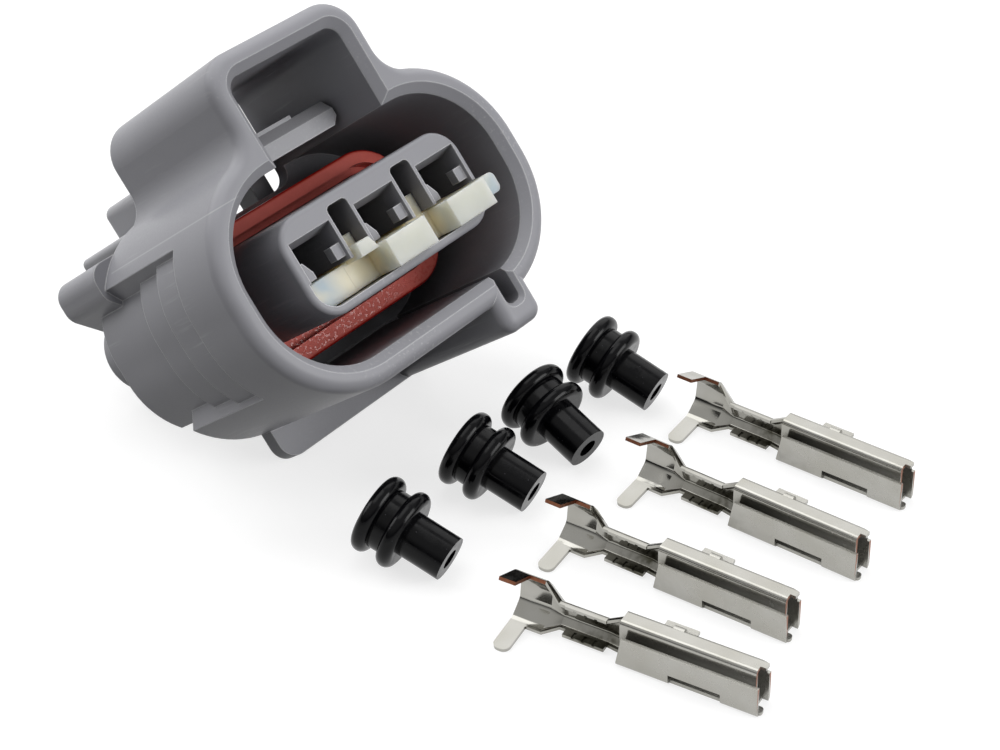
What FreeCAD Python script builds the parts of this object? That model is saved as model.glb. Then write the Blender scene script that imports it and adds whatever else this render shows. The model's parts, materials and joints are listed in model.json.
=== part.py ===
import FreeCAD, Part
import math
import os
import re
import Sketcher
from FreeCAD import Placement, Rotation, Vector

# Three way sealed connector kit, in millimetres, +Z up from the surface it lies on.
# Four pieces form the connector: housing, ring seal, retainer and latch lever.
# Four wire seals and four crimp terminals lie loose in two rows in front of it.
# The connector's own frame has x across the three cavities, y from the mating
# face towards the rear and z away from the foot, with z = 0 on the cavity axes.

doc = FreeCAD.newDocument("SealedConnector")
sheet = doc.addObject("Spreadsheet::Sheet", "Sizes")

SIZES = [
    ("cavity_pitch", 6.2, "centre to centre of neighbouring cavities"),
    ("hood_half_width", 14.1, "centre line to the outside of the hood"),
    ("hood_rise", 8.25, "cavity axis to the top of the hood"),
    ("hood_drop", 9.5, "cavity axis to the bottom of the hood"),
    ("hood_corner", 8.1, "outer corner radius of the hood"),
    ("hood_wall", 1.88, "wall of the hood"),
    ("hood_depth", 15.5, "mating face to the rear of the hood"),
    ("rim_round", 0.95, "rounding of the outer front edge"),
    ("lead_in", 0.65, "bevel of the inner front edge"),
    ("web", 1.2, "wall that joins plug and hood"),
    ("hump_half_width", 6.9, "half width of the latch bay outside"),
    ("hump_rise", 14.6, "cavity axis to the top of the latch bay"),
    ("hump_corner", 2.7, "outer corner radius of the latch bay"),
    ("hump_wall", 1.75, "wall of the latch bay"),
    ("hump_short", 0.35, "rear of the latch bay ahead of the rear of the hood"),
    ("hump_root", 2.3, "concave rounding between hump and hood"),
    ("bay_corner", 1.1, "inner corner radius of the latch bay"),
    ("bay_floor", 5.1, "cavity axis to the bottom of the latch opening"),
    ("key_left", 4.3, "outer left side of the key rib"),
    ("key_right", 8.05, "outer right side of the key rib"),
    ("key_wall", 1.2, "wall of the key rib"),
    ("key_round", 1.0, "corner radius of the key rib"),
    ("key_floor", 1.85, "wall below the key channel"),
    ("foot_drop", 11.9, "cavity axis to the bottom of foot and key rib"),
    ("foot_left", 7.9, "centre line to the left end of the foot"),
    ("foot_round", 1.4, "corner radius of the foot"),
    ("foot_depth", 1.3, "thickness of the foot along the mating axis"),
    ("grip_start", 5.4, "mating face to the first grip step"),
    ("grip_steps", 3, "grip steps on the hood"),
    ("grip_cut", 0.45, "depth of each grip step"),
    ("grip_rise", 5.2, "cavity axis to the top end of the grip"),
    ("grip_drop", 6.3, "cavity axis to the bottom end of the grip"),
    ("grip_slope", 58, "slope of the ends of the grip in degrees"),
    ("wing_wall", 1.2, "wall of the side wings behind the hood"),
    ("wing_reach", 3.8, "length of the side wings behind the hood"),
    ("wing_rise", 4.55, "cavity axis to the top of the side wings"),
    ("wing_drop", 6.0, "cavity axis to the bottom of the side wings"),
    ("shoulder_reach", 0.4, "length of the upper corners behind the hood"),
    ("ear_inner", 9.6, "centre line to the inside of the ears"),
    ("ear_outer", 12.7, "centre line to the outside of the ears"),
    ("ear_rise", 7.1, "cavity axis to the top of the ears"),
    ("ear_round", 1.3, "outer edge rounding of the ears"),
    ("ear_reach", 6.3, "length of the ears behind the hood"),
    ("plug_half_width", 8.68, "half width of the inner plug"),
    ("plug_rise", 3.2, "cavity axis to the top of the plug"),
    ("plug_drop", 4.15, "cavity axis to the bottom of the plug"),
    ("plug_corner", 2.2, "corner radius of the plug"),
    ("tower_radius", 3.3, "outer radius of each seal tower"),
    ("plug_round", 0.35, "edge rounding of the plug's face"),
    ("tower_reach", 10.7, "rear of the hood to the rear end of the towers"),
    ("tower_fill", 2.3, "half height of the ribs between the towers"),
    ("bore_radius", 2.6, "radius of each wire seal bore"),
    ("bore_depth", 8.2, "depth of each wire seal bore"),
    ("chamber_width", 3.58, "width of each terminal chamber"),
    ("chamber_height", 2.5, "height of each terminal chamber"),
    ("window_left", 1.83, "cavity axis to the left edge of its window"),
    ("window_right", 2.05, "cavity axis to the right edge of its window"),
    ("window_rise", 1.7, "cavity axis to the top edge of its window"),
    ("window_bevel", 1.7, "depth of the bevel behind the window"),
    ("window_sill", 1.3, "cavity axis down to the retainer pocket"),
    ("lug_reach", 0.85, "how far the stop lugs stand out"),
    ("lug_front", 0.35, "mating face to the stop lugs"),
    ("slot_width", 1.87, "width of the slots between cavities"),
    ("slot_shift", 0.1, "slots right of the middle of the wall"),
    ("slot_rise", 2.45, "cavity axis to the top of the slots"),
    ("slot_depth", 11, "depth of the slots"),
    ("slot_round", 0.4, "corner radius of the slots"),
    ("pocket_left", 8.2, "centre line to the left end of the pocket"),
    ("pocket_drop", 3.55, "cavity axis to the bottom of the pocket"),
    ("pocket_depth", 6.5, "depth of the retainer pocket"),
    ("pocket_round", 1.6, "rounding of the pocket's corner in the plug's corner"),
    ("play", 0.1, "clearance of the retainer all round"),
    ("block_width", 3.85, "width of the retainer's blocks"),
    ("block_proud", 1.25, "how far the retainer stands out before it locks"),
    ("block_sunk", 1.2, "how far its left block lies behind the face"),
    ("bar_sunk", 1.3, "how far its bar lies behind the face"),
    ("retainer_depth", 3.6, "length of the retainer's bar"),
    ("tab_reach", 1.6, "how far the retainer's end tab passes that block"),
    ("tab_proud", 0.5, "how far the end tab stands out before it locks"),
    ("tab_height", 1.5, "height of the end tab"),
    ("finger_rise", 0.2, "cavity axis to the top of the fingers"),
    ("finger_front", 1.45, "mating face to the fingers"),
    ("finger_depth", 6, "length of the fingers"),
    ("tongue_drop", 0.6, "cavity axis down to the top of the tongue"),
    ("seal_front", 8.8, "mating face to the ring seal"),
    ("seal_thick", 1.6, "ring seal beyond the plug"),
    ("seal_sag", 0.45, "extra thickness of the ring seal below"),
    ("seal_groove", 0.4, "depth of the grooves between the seal's lips"),
    ("seal_lip_round", 0.3, "edge rounding of the ring seal's lips"),
    ("seal_channel", 0.6, "width of the ring seal's front channel"),
    ("seal_lips", 3, "lips of the ring seal"),
    ("seal_play", 0.05, "clearance of the ring seal on the plug"),
    ("lever_half_width", 4.85, "half width of the latch lever"),
    ("bar_front", 5.2, "mating face to the lever's cross bar"),
    ("bar_depth", 2.2, "depth of the cross bar"),
    ("bar_bottom", 6.9, "cavity axis to the bottom of the cross bar"),
    ("bar_height", 1.95, "height of the cross bar"),
    ("bar_bevel", 0.8, "bevel of the cross bar"),
    ("step_half_width", 1.9, "half width of the raised step on the bar"),
    ("step_height", 0.25, "height of that step"),
    ("arm_width", 1.65, "width of the lever's arms and legs"),
    ("arm_height", 1.4, "height of the lever's arms"),
    ("leg_depth", 2.4, "depth of the lever's legs"),
    ("pivot_back", 2.3, "rear of the hood to the lever's pivot"),
    ("pivot_z", 4.7, "cavity axis to the lever's pivot"),
    ("pivot_play", 0.05, "clearance of the legs in their saddles"),
    ("plate_half_width", 8.0, "half width of the thumb plate"),
    ("plate_start", 0.9, "rear of the hood to the thumb plate"),
    ("plate_length", 8.2, "length of the thumb plate"),
    ("plate_bottom", 6.7, "cavity axis to the bottom of the thumb plate"),
    ("plate_height", 1.2, "thickness of the thumb plate"),
    ("pad_half_width", 5.0, "half width of the thumb pad"),
    ("pad_start", 2.2, "rear of the hood to the thumb pad"),
    ("pad_depth", 5.6, "depth of the thumb pad"),
    ("pad_height", 2.4, "height of the thumb pad"),
    ("seal_flange", 2.84, "radius of a wire seal's two ribs"),
    ("seal_waist", 2.2, "radius between the ribs"),
    ("seal_tube", 1.6, "radius of a wire seal's tube"),
    ("seal_hole", 0.73, "radius of the hole for the wire"),
    ("rib_width", 1.16, "width of each rib"),
    ("rib_round", 0.555, "edge rounding of the ribs, close to half their width"),
    ("rib_pitch", 2.0, "first rib to the second"),
    ("tube_length", 3.14, "length of a wire seal's tube"),
    ("tin", 0.25, "sheet thickness of a terminal"),
    ("box_length", 9.8, "length of a terminal's box"),
    ("box_height", 3.25, "width of the box, upright as it lies"),
    ("box_depth", 2.0, "depth of the box, level as it lies"),
    ("flap_height", 2.4, "height of the outer flap"),
    ("flap_rake", 0.4, "slope of the outer flap's rear edge"),
    ("fold_inset", 0.62, "inner fold behind the outer flap"),
    ("fold_end", 0.45, "floor to the free edge of the inner fold"),
    ("mouth_set_back", 0.4, "outer flap past the inner fold at the mating end"),
    ("mouth_wall", 1.2, "outer flap to the far part of the box's top that reaches forward"),
    ("mouth_bevel", 0.3, "cut corner of the box at the mating end"),
    ("tongue_width", 0.6, "width of the tongue in front of the floor"),
    ("tongue_reach", 0.15, "tongue beyond the outer flap's mating end"),
    ("lance_start", 2.45, "rear of the box to its locking lance"),
    ("lance_length", 2.25, "length of the locking lance"),
    ("lance_reach", 0.5, "how far the lance stands out"),
    ("notch_start", 3.7, "rear of the box to its notch"),
    ("notch_length", 3.6, "length of the notch"),
    ("notch_height", 0.87, "height of the notch"),
    ("crimp_front", 1.15, "rear of the box to the wire crimp"),
    ("crimp_length", 3.0, "length of the wire crimp"),
    ("crimp_base", 0.2, "table to the wire crimp"),
    ("crimp_top", 2.5, "table to the top of the wire crimp"),
    ("crimp_corner", 0.6, "bevelled corner of the wire crimp's back"),
    ("crimp_bend", 0.5, "bend radius of the wire crimp"),
    ("crimp_open", 0.55, "level of the wire crimp's lower free edge"),
    ("crimp_upper", 1.0, "level of the wire crimp's upper free edge"),
    ("neck_open", 0.12, "length of the neck's arms beyond its bends"),
    ("neck_rear", 4.6, "rear of the box to the rear end of the neck"),
    ("groove_width", 0.2, "width of each groove in the wire crimp"),
    ("groove_depth", 0.09, "depth of each groove in the wire crimp"),
    ("barrel_front", 5.45, "rear of the box to the insulation crimp"),
    ("barrel_rear", 7.8, "rear of the box to the end of the insulation crimp"),
    ("barrel_bend", 0.9, "bend radius of the insulation crimp"),
    ("paddle_width", 1.2, "width of the crimp's two paddles"),
    ("paddle_low_y", -2.3, "lower paddle's end, towards the viewer"),
    ("barrel_low_y", 0.6, "foot of the insulation crimp, away from the viewer"),
    ("barrel_low_z", 0.22, "foot of the insulation crimp, above the table"),
    ("barrel_deep_z", 1.15, "lower bend of its back, above the table"),
    ("barrel_high_z", 2.8, "upper bend of its back, above the table"),
    ("barrel_top_y", 1.25, "head of the insulation crimp, away from the viewer"),
    ("barrel_top_z", 4.0, "head of the insulation crimp, above the table"),
    ("paddle_high_y", -0.85, "upper paddle's end, towards the viewer"),
    ("paddle_high_z", 5.0, "upper paddle's end, above the table"),
    ("barrel_low_end", 0.1, "lower free edge of the insulation crimp"),
    ("barrel_top_end", 0.98, "upper free edge of the insulation crimp"),
    ("seal_1_x", -10.49, "place of seal 1 along the rows"),
    ("seal_1_y", -6.99, "place of seal 1 towards the connector"),
    ("seal_1_turn", -79.3, "way it points, in degrees"),
    ("seal_2_x", -1.56, "place of seal 2 along the rows"),
    ("seal_2_y", -7.0, "place of seal 2 towards the connector"),
    ("seal_2_turn", -80.3, "way it points, in degrees"),
    ("seal_3_x", 6.08, "place of seal 3 along the rows"),
    ("seal_3_y", -6.93, "place of seal 3 towards the connector"),
    ("seal_3_turn", -95.4, "way it points, in degrees"),
    ("seal_4_x", 13.04, "place of seal 4 along the rows"),
    ("seal_4_y", -6.85, "place of seal 4 towards the connector"),
    ("seal_4_turn", -82.9, "way it points, in degrees"),
    ("terminal_1_x", -9.47, "place of terminal 1 along the rows"),
    ("terminal_1_y", -26.69, "place of terminal 1 towards the connector"),
    ("terminal_1_turn", -80.5, "way it points, in degrees"),
    ("terminal_2_x", -2.27, "place of terminal 2 along the rows"),
    ("terminal_2_y", -24.36, "place of terminal 2 towards the connector"),
    ("terminal_2_turn", -84.6, "way it points, in degrees"),
    ("terminal_3_x", 5.87, "place of terminal 3 along the rows"),
    ("terminal_3_y", -24.66, "place of terminal 3 towards the connector"),
    ("terminal_3_turn", -87.3, "way it points, in degrees"),
    ("terminal_4_x", 13.88, "place of terminal 4 along the rows"),
    ("terminal_4_y", -23.22, "place of terminal 4 towards the connector"),
    ("terminal_4_turn", -87.3, "way it points, in degrees"),
]
for row, (alias, value, note) in enumerate(SIZES, 1):
    sheet.set(f"A{row}", alias)
    sheet.set(f"B{row}", str(value))
    sheet.set(f"C{row}", note)
    sheet.setAlias(f"B{row}", alias)
doc.recompute()
CELLS = {alias for alias, value, note in SIZES}


def cells(expression):
    """Name the sheet before each of its aliases in an expression."""
    return re.sub(r"[a-z]\w*", lambda word: ("Sizes." if word[0] in CELLS else "") + word[0], expression)


def value(expression):
    return float(sheet.evalExpression(expression))


def bind(feature, **expressions):
    for name, expression in expressions.items():
        feature.setExpression(name.replace("_at_", "Placement.Base."), cells(expression))
    return feature


def box(name, x, y, z, length, depth, height):
    block = doc.addObject("Part::Box", name)
    bind(block, _at_x=x, _at_y=y, _at_z=z)
    return bind(block, Length=length, Width=depth, Height=height)


def rod(name, x, y, z, radius, length, axis=Vector(0, 1, 0)):
    bar = doc.addObject("Part::Cylinder", name)
    bar.Placement = Placement(Vector(), Rotation(Vector(0, 0, 1), axis))
    bind(bar, _at_x=x, _at_y=y, _at_z=z)
    return bind(bar, Radius=radius, Height=length)


def flat_sketch(name, front):
    """A sketch whose x is the part's x and whose y is the part's z."""
    sketch = doc.addObject("Sketcher::SketchObject", name)
    sketch.Placement = Placement(Vector(), Rotation(Vector(1, 0, 0), 90))
    return bind(sketch, _at_y=front)


def across_sketch(name, left):
    """A sketch whose x is the part's y and whose y is the part's z."""
    sketch = doc.addObject("Sketcher::SketchObject", name)
    sketch.Placement = Placement(Vector(), Rotation(Vector(1, 1, 1), 120))
    return bind(sketch, _at_x=left)


def fix_point(sketch, line, point, x, y):
    """Hold a point of a line at a place that follows the sheet."""
    across = sketch.addConstraint(Sketcher.Constraint("DistanceX", -1, 1, line, point, value(x)))
    sketch.setExpression(f"Constraints[{across}]", cells(x))
    up = sketch.addConstraint(Sketcher.Constraint("DistanceY", -1, 1, line, point, value(y)))
    sketch.setExpression(f"Constraints[{up}]", cells(y))


def draw_polygon(sketch, points):
    places = [Vector(value(x), value(y), 0) for x, y in points]
    count = len(points)
    for corner in range(count):
        sketch.addGeometry(Part.LineSegment(places[corner], places[(corner + 1) % count]), False)
    for corner in range(count):
        sketch.addConstraint(Sketcher.Constraint("Coincident", corner, 2, (corner + 1) % count, 1))
    for corner, (x, y) in enumerate(points):
        fix_point(sketch, corner, 1, x, y)


def draw_rounded(sketch, left, right, bottom, top, corner):
    """A rectangle with equal round corners, each size tied to the sheet."""
    x0, x1, y0, y1, r = (value(size) for size in (left, right, bottom, top, corner))
    sides = [((x0 + r, y0), (x1 - r, y0)), ((x1, y0 + r), (x1, y1 - r)),
             ((x1 - r, y1), (x0 + r, y1)), ((x0, y1 - r), (x0, y0 + r))]
    centres = [(x1 - r, y0 + r), (x1 - r, y1 - r), (x0 + r, y1 - r), (x0 + r, y0 + r)]
    for start, end in sides:
        sketch.addGeometry(Part.LineSegment(Vector(*start), Vector(*end)), False)
    for turn, centre in enumerate(centres):
        circle = Part.Circle(Vector(*centre), Vector(0, 0, 1), r)
        first = (turn - 1) * math.pi / 2
        sketch.addGeometry(Part.ArcOfCircle(circle, first, first + math.pi / 2), False)
    for side in range(4):
        sketch.addConstraint(Sketcher.Constraint("Tangent", side, 2, side + 4, 1))
        sketch.addConstraint(Sketcher.Constraint("Tangent", side + 4, 2, (side + 1) % 4, 1))
    for side, kind in enumerate(("Horizontal", "Vertical", "Horizontal", "Vertical")):
        sketch.addConstraint(Sketcher.Constraint(kind, side))
    for arc in (5, 6, 7):
        sketch.addConstraint(Sketcher.Constraint("Equal", 4, arc))
    rounding = sketch.addConstraint(Sketcher.Constraint("Radius", 4, r))
    sketch.setExpression(f"Constraints[{rounding}]", cells(corner))
    limits = (("DistanceX", 3, left, x0), ("DistanceX", 1, right, x1),
              ("DistanceY", 0, bottom, y0), ("DistanceY", 2, top, y1))
    for kind, side, size, start in limits:
        limit = sketch.addConstraint(Sketcher.Constraint(kind, -1, 1, side, 1, start))
        sketch.setExpression(f"Constraints[{limit}]", cells(size))


def extrude(name, sketch, direction, length, taper=0):
    solid = doc.addObject("Part::Extrusion", name)
    solid.Base = sketch
    solid.DirMode = "Custom"
    solid.Dir = direction
    solid.Solid = True
    solid.TaperAngle = taper
    return bind(solid, LengthFwd=length)


def rounded_prism(name, left, right, bottom, top, corner, front, depth, taper=0):
    """A round cornered bar along the mating axis; a taper widens it to the front."""
    sketch = flat_sketch(name + "_outline", front)
    draw_rounded(sketch, left, right, bottom, top, corner)
    direction = Vector(0, -1, 0) if taper else Vector(0, 1, 0)
    return extrude(name, sketch, direction, depth, taper)


def polygon_prism(name, points, front, depth):
    sketch = flat_sketch(name + "_outline", front)
    draw_polygon(sketch, points)
    return extrude(name, sketch, Vector(0, 1, 0), depth)


def polygon_bar(name, points, left, width):
    sketch = across_sketch(name + "_outline", left)
    draw_polygon(sketch, points)
    return extrude(name, sketch, Vector(1, 0, 0), width)


def fuse(name, pieces):
    union = doc.addObject("Part::MultiFuse", name)
    union.Shapes = pieces
    union.Refine = True
    return union


def cut(name, base, tool):
    rest = doc.addObject("Part::Cut", name)
    rest.Base = base
    rest.Tool = tool
    rest.Refine = True
    return rest


def common(name, base, tool):
    shared = doc.addObject("Part::Common", name)
    shared.Base = base
    shared.Tool = tool
    return shared


def mirror(name, source):
    copy = doc.addObject("Part::Mirroring", name)
    copy.Source = source
    copy.Normal = Vector(1, 0, 0)
    return copy


def pair(name, source):
    return fuse(name, [source, mirror(name + "_other_side", source)])


def soften(name, base, radius, wanted, kind="Part::Fillet"):
    """Round or bevel those edges of the base that the test picks."""
    doc.recompute()
    size = value(radius)
    picked = [(number, size, size) for number, edge in enumerate(base.Shape.Edges, 1) if wanted(edge)]
    soft = doc.addObject(kind, name)
    soft.Base = base
    soft.Edges = picked
    return soft


def near(one, other):
    return abs(one - other) < 0.01


def runs_along(edge, axis):
    """True for a straight edge along one axis: 0 is x, 1 is y, 2 is z."""
    if not isinstance(edge.Curve, Part.Line):
        return False
    return abs(abs(edge.tangentAt(edge.FirstParameter)[axis]) - 1) < 1e-6


def lies_in(edge, axis, place):
    box_ = edge.BoundBox
    low = (box_.XMin, box_.YMin, box_.ZMin)[axis]
    high = (box_.XMax, box_.YMax, box_.ZMax)[axis]
    return near(low, place) and near(high, place)


def make_hood():
    """Oval hood with the latch bay on top and the key rib below, open at the front."""
    oval = rounded_prism("hood_oval", "-hood_half_width", "hood_half_width", "-hood_drop", "hood_rise",
                         "hood_corner", "0", "hood_depth")
    hump = rounded_prism("hood_hump", "-hump_half_width", "hump_half_width", "0", "hump_rise",
                         "hump_corner", "0", "hood_depth - hump_short")
    rib = rounded_prism("key_rib", "key_left", "key_right", "-foot_drop", "-1", "key_round",
                        "0", "hood_depth")
    body = fuse("hood_body", [oval, hump, rib])
    hump_side = value("hump_half_width")
    body = soften("hood_root", body, "hump_root",
                  lambda edge: runs_along(edge, 1) and near(abs(edge.CenterOfMass.x), hump_side)
                  and edge.CenterOfMass.z < value("hood_rise") + 0.01)
    body = soften("hood_rim", body, "rim_round", lambda edge: lies_in(edge, 1, 0))
    return body


def prism_inside(name, front, depth, taper, grow):
    """The hood's mating space, or its lead-in when it grows towards the front."""
    wide = f"(hood_half_width - hood_wall + {grow})"
    return rounded_prism(name, f"-{wide}", wide, f"-(hood_drop - hood_wall + {grow})",
                         f"hood_rise - hood_wall + {grow}", f"hood_corner - hood_wall + {grow}",
                         front, depth, taper)


def make_mating_space():
    """Everything that is open inside the hood, with bevelled front edges."""
    bay = "(hump_half_width - hump_wall)"
    roof = "hump_rise - hump_wall"
    key_in = "key_left + key_wall"
    key_out = "key_right - key_wall"
    key_floor = "-(foot_drop - key_floor)"
    return [
        prism_inside("space", "-1", "hood_depth - web + 1", 0, "0"),
        prism_inside("space_lead", "lead_in", "lead_in + 0.2", 45, "0"),
        rounded_prism("bay", f"-{bay}", bay, "bay_floor", roof, "bay_corner", "-1", "hood_depth + 2"),
        rounded_prism("bay_lead", f"-{bay}", bay, "bay_floor", roof, "bay_corner",
                      "lead_in", "lead_in + 0.2", 45),
        rounded_prism("key", key_in, key_out, key_floor, "-(hood_drop / 2)", "key_round / 2",
                      "-1", "hood_depth - web + 1"),
        rounded_prism("key_lead", key_in, key_out, key_floor, "-(hood_drop / 2)", "key_round / 2",
                      "lead_in / 2", "lead_in / 2 + 0.2", 45),
    ]


def hood_outline(name, inset, front, depth):
    """The oval of the hood, drawn in from its outside."""
    wide = f"(hood_half_width - ({inset}))"
    return rounded_prism(name, f"-{wide}", wide, f"-(hood_drop - ({inset}))", f"hood_rise - ({inset})",
                         f"hood_corner - ({inset})", front, depth)


def grip_top(place):
    """Level of the grip's sloping upper end at some place across."""
    reach = "sqrt(hood_corner^2 - (grip_rise - hood_rise + hood_corner)^2)"
    return f"grip_rise + ({place} - (hood_half_width - hood_corner + {reach})) * tan(grip_slope)"


def make_grip():
    """Steps on both sides that cut deeper towards the rear, with sloping ends."""
    level = "(hood_half_width - hood_corner)"
    low_edge = f"({level} + sqrt(hood_corner^2 - (grip_drop - hood_drop + hood_corner)^2))"
    far, near_in = "(hood_half_width + 4)", "(hood_half_width - 5)"
    corners = [(far, grip_top(far)), (near_in, grip_top(near_in)),
               (near_in, f"-grip_drop - ({near_in} - {low_edge}) * tan(grip_slope)"),
               (far, f"-grip_drop - ({far} - {low_edge}) * tan(grip_slope)")]
    pitch = "((hood_depth - grip_start) / grip_steps)"
    steps = []
    for step in range(int(value("grip_steps"))):
        front = f"grip_start + {step} * {pitch}"
        wedge = polygon_prism(f"grip_wedge_{step}", corners, front, f"{pitch} + 0.01")
        keep = hood_outline(f"grip_keep_{step}", f"{step + 1} * grip_cut", f"{front} - 1", f"{pitch} + 2")
        steps.append(cut(f"grip_step_{step}", pair(f"grip_sides_{step}", wedge), keep))
    return steps


def make_wings():
    """Side walls that carry the grip on behind the hood."""
    inset = "(grip_steps * grip_cut)"
    front, depth = "hood_depth - web", "web + wing_reach"
    outside = hood_outline("wing_outside", inset, front, depth)
    inside = hood_outline("wing_inside", f"{inset} + wing_wall", f"{front} - 1", f"{depth} + 2")
    ring = cut("wing_ring", outside, inside)
    side = box("wing_side", "plug_half_width + 0.4", front, "-wing_drop", "hood_half_width", depth,
               "wing_rise + wing_drop")
    return common("wings", ring, pair("wing_sides", side))


def make_shoulders():
    """The hood's upper corners, above the grip, reach further back than its middle."""
    front, depth = "hood_depth - web", "web + shoulder_reach"
    outside = hood_outline("shoulder_outside", "0", front, depth)
    inside = hood_outline("shoulder_inside", "hood_wall", f"{front} - 1", f"{depth} + 2")
    ring = cut("shoulder_ring", outside, inside)
    start, inner, far = "(hump_half_width - 0.5)", "(hood_half_width - 3)", "(hood_half_width + 0.5)"
    side = polygon_prism("shoulder_side", [(inner, grip_top(inner)), (far, grip_top(far)),
                                           (far, "hood_rise + 1"), (start, "hood_rise + 1"),
                                           (start, grip_top(inner))], front, depth)
    return common("shoulders", ring, pair("shoulder_sides", side))


def make_ears():
    """Two guards beside the thumb plate, rounded outside and cut back below."""
    slope = "(ear_outer - ear_inner) * 0.8"
    corners = [("ear_inner", "ear_rise"), ("ear_outer", "ear_rise"), ("ear_outer", f"ear_rise - {slope}"),
               (f"ear_outer - {slope}", f"ear_rise - 2 * {slope}"), ("ear_inner", f"ear_rise - 2 * {slope}")]
    ear = polygon_prism("ear", corners, "hood_depth + shoulder_reach - 0.1",
                        "ear_reach - shoulder_reach + 0.1")
    outside = value("ear_outer")
    ear = soften("ear_soft", ear, "ear_round",
                 lambda edge: runs_along(edge, 1) and near(edge.CenterOfMass.x, outside))
    return pair("ears", ear)


def make_towers():
    """Three joined seal towers and the saddles that carry the latch lever."""
    start, length = "hood_depth - web", "tower_reach + web"
    towers = [rod(f"tower_{side + 1}", f"{side} * cavity_pitch", start, "0", "tower_radius", length)
              for side in (-1, 0, 1)]
    towers.append(box("tower_fill_in", "-cavity_pitch", start, "-tower_fill", "2 * cavity_pitch",
                      length, "2 * tower_fill"))
    boss = box("saddle_block", "lever_half_width - arm_width - 0.2",
               "hood_depth + pivot_back - leg_depth / 2 - 0.7", "tower_fill - 0.5", "arm_width + 0.4",
               "leg_depth + 1.4", "pivot_z - tower_fill + 0.5")
    hollow = rod("saddle_hollow", "0", "hood_depth + pivot_back", "pivot_z", "leg_depth / 2 + pivot_play",
                 "hood_half_width", Vector(1, 0, 0))
    return towers + [pair("saddles", cut("saddle", boss, hollow))]


def round_lower_left(block, left, drop, radius):
    """Round the long edge that lies in the plug's lower left corner."""
    x, z = value(f"-({left})"), value(f"-({drop})")
    return soften(block.Name + "_round", block, radius,
                  lambda edge: runs_along(edge, 1) and near(edge.CenterOfMass.x, x)
                  and near(edge.CenterOfMass.z, z))


def make_cavities():
    """Windows, terminal chambers and seal bores of the three cavities."""
    tools = []
    for side in (-1, 0, 1):
        axis = f"{side} * cavity_pitch"
        window = doc.addObject("Part::Wedge", f"window_{side + 1}")
        bind(window, Xmin=f"{axis} - window_left", Xmax=f"{axis} + window_right", Ymin="-0.5",
             Ymax="window_bevel", Zmin="-window_sill", Zmax="window_rise + 0.1",
             X2min=f"{axis} - chamber_width / 2 + 0.1", X2max=f"{axis} + chamber_width / 2 + 0.1",
             Z2min="-window_sill", Z2max="chamber_height - window_sill")
        chamber = box(f"chamber_{side + 1}", f"{axis} - chamber_width / 2 + 0.1", "0", "-window_sill",
                      "chamber_width", "hood_depth + tower_reach - bore_depth + 0.1", "chamber_height")
        bore = rod(f"bore_{side + 1}", axis, "hood_depth + tower_reach - bore_depth", "0", "bore_radius",
                   "bore_depth + 1")
        tools += [window, chamber, bore]
    for side in (-1, 1):
        middle = f"{side} * cavity_pitch / 2 + slot_shift"
        tools.append(rounded_prism(f"slot_{side + 1}", f"{middle} - slot_width / 2",
                                   f"{middle} + slot_width / 2", "-window_sill - 1", "slot_rise",
                                   "slot_round", "-1", "slot_depth + 1"))
    pocket = box("retainer_pocket", "-pocket_left", "-1", "-pocket_drop",
                 "pocket_left + plug_half_width + 1", "pocket_depth + 1", "pocket_drop - window_sill")
    tools.append(round_lower_left(pocket, "pocket_left", "pocket_drop", "pocket_round"))
    return tools


def make_lugs():
    """Small stop lugs low in each window, sloping on the left and square on the right."""
    lugs = []
    for side in (-1, 0, 1):
        axis = f"{side} * cavity_pitch"
        left = f"{axis} - window_left"
        slope = polygon_prism(f"lug_left_{side + 1}",
                              [(f"{left} - 0.05", "-window_sill + 0.1"),
                               (f"{left} + lug_reach", "-window_sill + 0.1"),
                               (f"{left} + lug_reach", "-window_sill + 0.6"),
                               (f"{left} + lug_reach / 2", "0.15"), (f"{left} - 0.05", "0.15")],
                              "lug_front", "lug_reach")
        square = box(f"lug_right_{side + 1}", f"{axis} + window_right - lug_reach", "lug_front",
                     "-window_sill + 0.35", "lug_reach + 0.1", "lug_reach", "1.0")
        lugs += [slope, square]
    return lugs


def make_housing():
    hood = make_hood()
    hood = cut("hood_stepped", hood, fuse("grip", make_grip()))
    hood = cut("hood_open", hood, fuse("mating_space", make_mating_space()))
    plug = rounded_prism("plug", "-plug_half_width", "plug_half_width", "-plug_drop", "plug_rise",
                         "plug_corner", "0", "hood_depth")
    plug = soften("plug_soft", plug, "plug_round", lambda edge: lies_in(edge, 1, 0))
    foot = rounded_prism("foot", "-foot_left", "key_right", "-foot_drop", "-(hood_drop - 2)",
                         "foot_round", "hood_depth - foot_depth", "foot_depth")
    rear = [make_wings(), make_shoulders(), make_ears()] + make_towers()
    solid = fuse("housing_solid", [hood, plug, foot] + rear)
    bored = cut("housing_bored", solid, fuse("cavities", make_cavities()))
    return fuse("housing", [bored] + make_lugs())


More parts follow.
